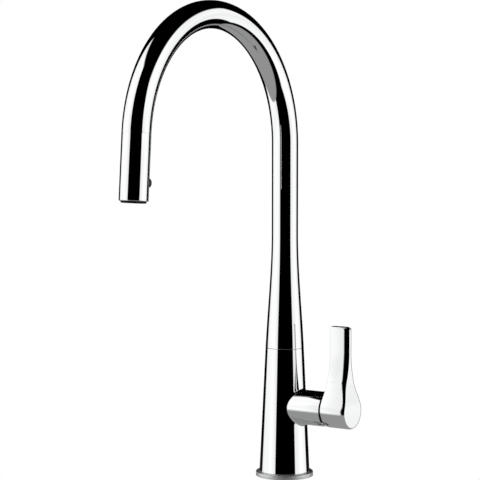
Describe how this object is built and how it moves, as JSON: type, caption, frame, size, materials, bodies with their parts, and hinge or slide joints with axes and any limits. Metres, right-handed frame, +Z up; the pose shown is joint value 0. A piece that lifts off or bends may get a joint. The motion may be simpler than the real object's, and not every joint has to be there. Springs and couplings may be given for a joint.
{
  "type": "pull down kitchen faucet",
  "caption": "Deck-mounted gooseneck kitchen faucet with a conical body, swivelling arched spout, pull-down spray head on a hose and a side lever.",
  "frame": {"origin": "centre of the base flange, on the deck surface that it stands on", "axes": "+Z up, out of the deck; the spout reaches towards -Y and the lever is on the +X side"},
  "size_m": [0.1031, 0.2726, 0.5283],
  "materials": {
    "chrome_body": "polished chrome plate",
    "chrome_spout": "polished chrome plate",
    "chrome_handle": "polished chrome plate",
    "flange_metal": "satin chrome plate",
    "brass": "machined brass",
    "steel": "machined stainless steel",
    "black_plastic": "moulded black plastic",
    "button_rubber": "soft black rubber",
    "seal_rubber": "black nitrile rubber",
    "white_plastic": "natural acetal plastic",
    "valve_plastic": "blue moulded plastic",
    "ceramic": "lapped ceramic",
    "hose_braid": "braided nylon sleeve"
  },
  "bodies": {
    "base": {"base_flange": "flange_metal", "flange_seal": "seal_rubber", "body_shell": "chrome_body", "valve_manifold": "brass", "cartridge_housing": "white_plastic", "cartridge_seal": "seal_rubber", "fixed_disc": "ceramic", "cartridge_nut": "brass", "valve_cover": "black_plastic", "threaded_shank": "brass", "deck_gasket": "seal_rubber", "clamp_washer": "steel", "shank_nut": "brass", "clamp_screws": "steel", "swivel_spigot": "brass", "spigot_screws": "steel", "glide_washer": "white_plastic", "lower_bush": "white_plastic", "upper_bush": "white_plastic", "hose_coupling": "brass"},
    "spout": {"spout_tube": "chrome_spout", "spout_socket": "brass", "spout_grub_screw": "steel", "guide_bush": "black_plastic", "spray_hose": "hose_braid"},
    "spray_head": {"spray_shell": "chrome_spout", "spray_neck": "black_plastic", "hose_nut": "steel", "hose_washer": "seal_rubber", "check_valve": "valve_plastic", "spray_core": "black_plastic", "aerator": "black_plastic", "nozzle_face": "button_rubber", "button_spring": "steel"},
    "button": {"diverter_button": "button_rubber", "diverter_spool": "white_plastic", "spool_seals": "seal_rubber"},
    "cartridge_spindle": {"turning_disc": "ceramic", "cartridge_carrier": "white_plastic", "lever_pin": "steel"},
    "handle": {"cartridge_stem": "steel", "handle_lever": "chrome_handle", "lever_grub_screw": "steel", "index_plug": "black_plastic"}
  },
  "joints": [
    {"name": "spout_swivel", "type": "hinge", "parent": "base", "child": "spout", "pos_m": [0, 0, 0.123], "axis": [0, 0, 1], "range_deg": [-180, 180]},
    {"name": "spray_pull", "type": "slide", "parent": "spout", "child": "spray_head", "axis": [0, -0.075, -0.9972], "range_m": [0, 0.24], "stiffness_N_per_m": 12, "springref_m": -0.5, "deforming": ["spray_hose"]},
    {"name": "button_push", "type": "slide", "parent": "spray_head", "child": "button", "axis": [0, -0.9972, 0.075], "range_m": [0, 0.003], "stiffness_N_per_m": 600, "springref_m": -0.002, "deforming": ["button_spring"]},
    {"name": "handle_turn", "type": "hinge", "parent": "base", "child": "cartridge_spindle", "pos_m": [0.02585, 0, 0.0676], "axis": [1, 0, 0], "range_deg": [-45, 45]},
    {"name": "lever_lift", "type": "hinge", "parent": "cartridge_spindle", "child": "handle", "pos_m": [0.02585, 0, 0.0676], "axis": [0, 1, 0], "range_deg": [0, 10]}
  ]
}
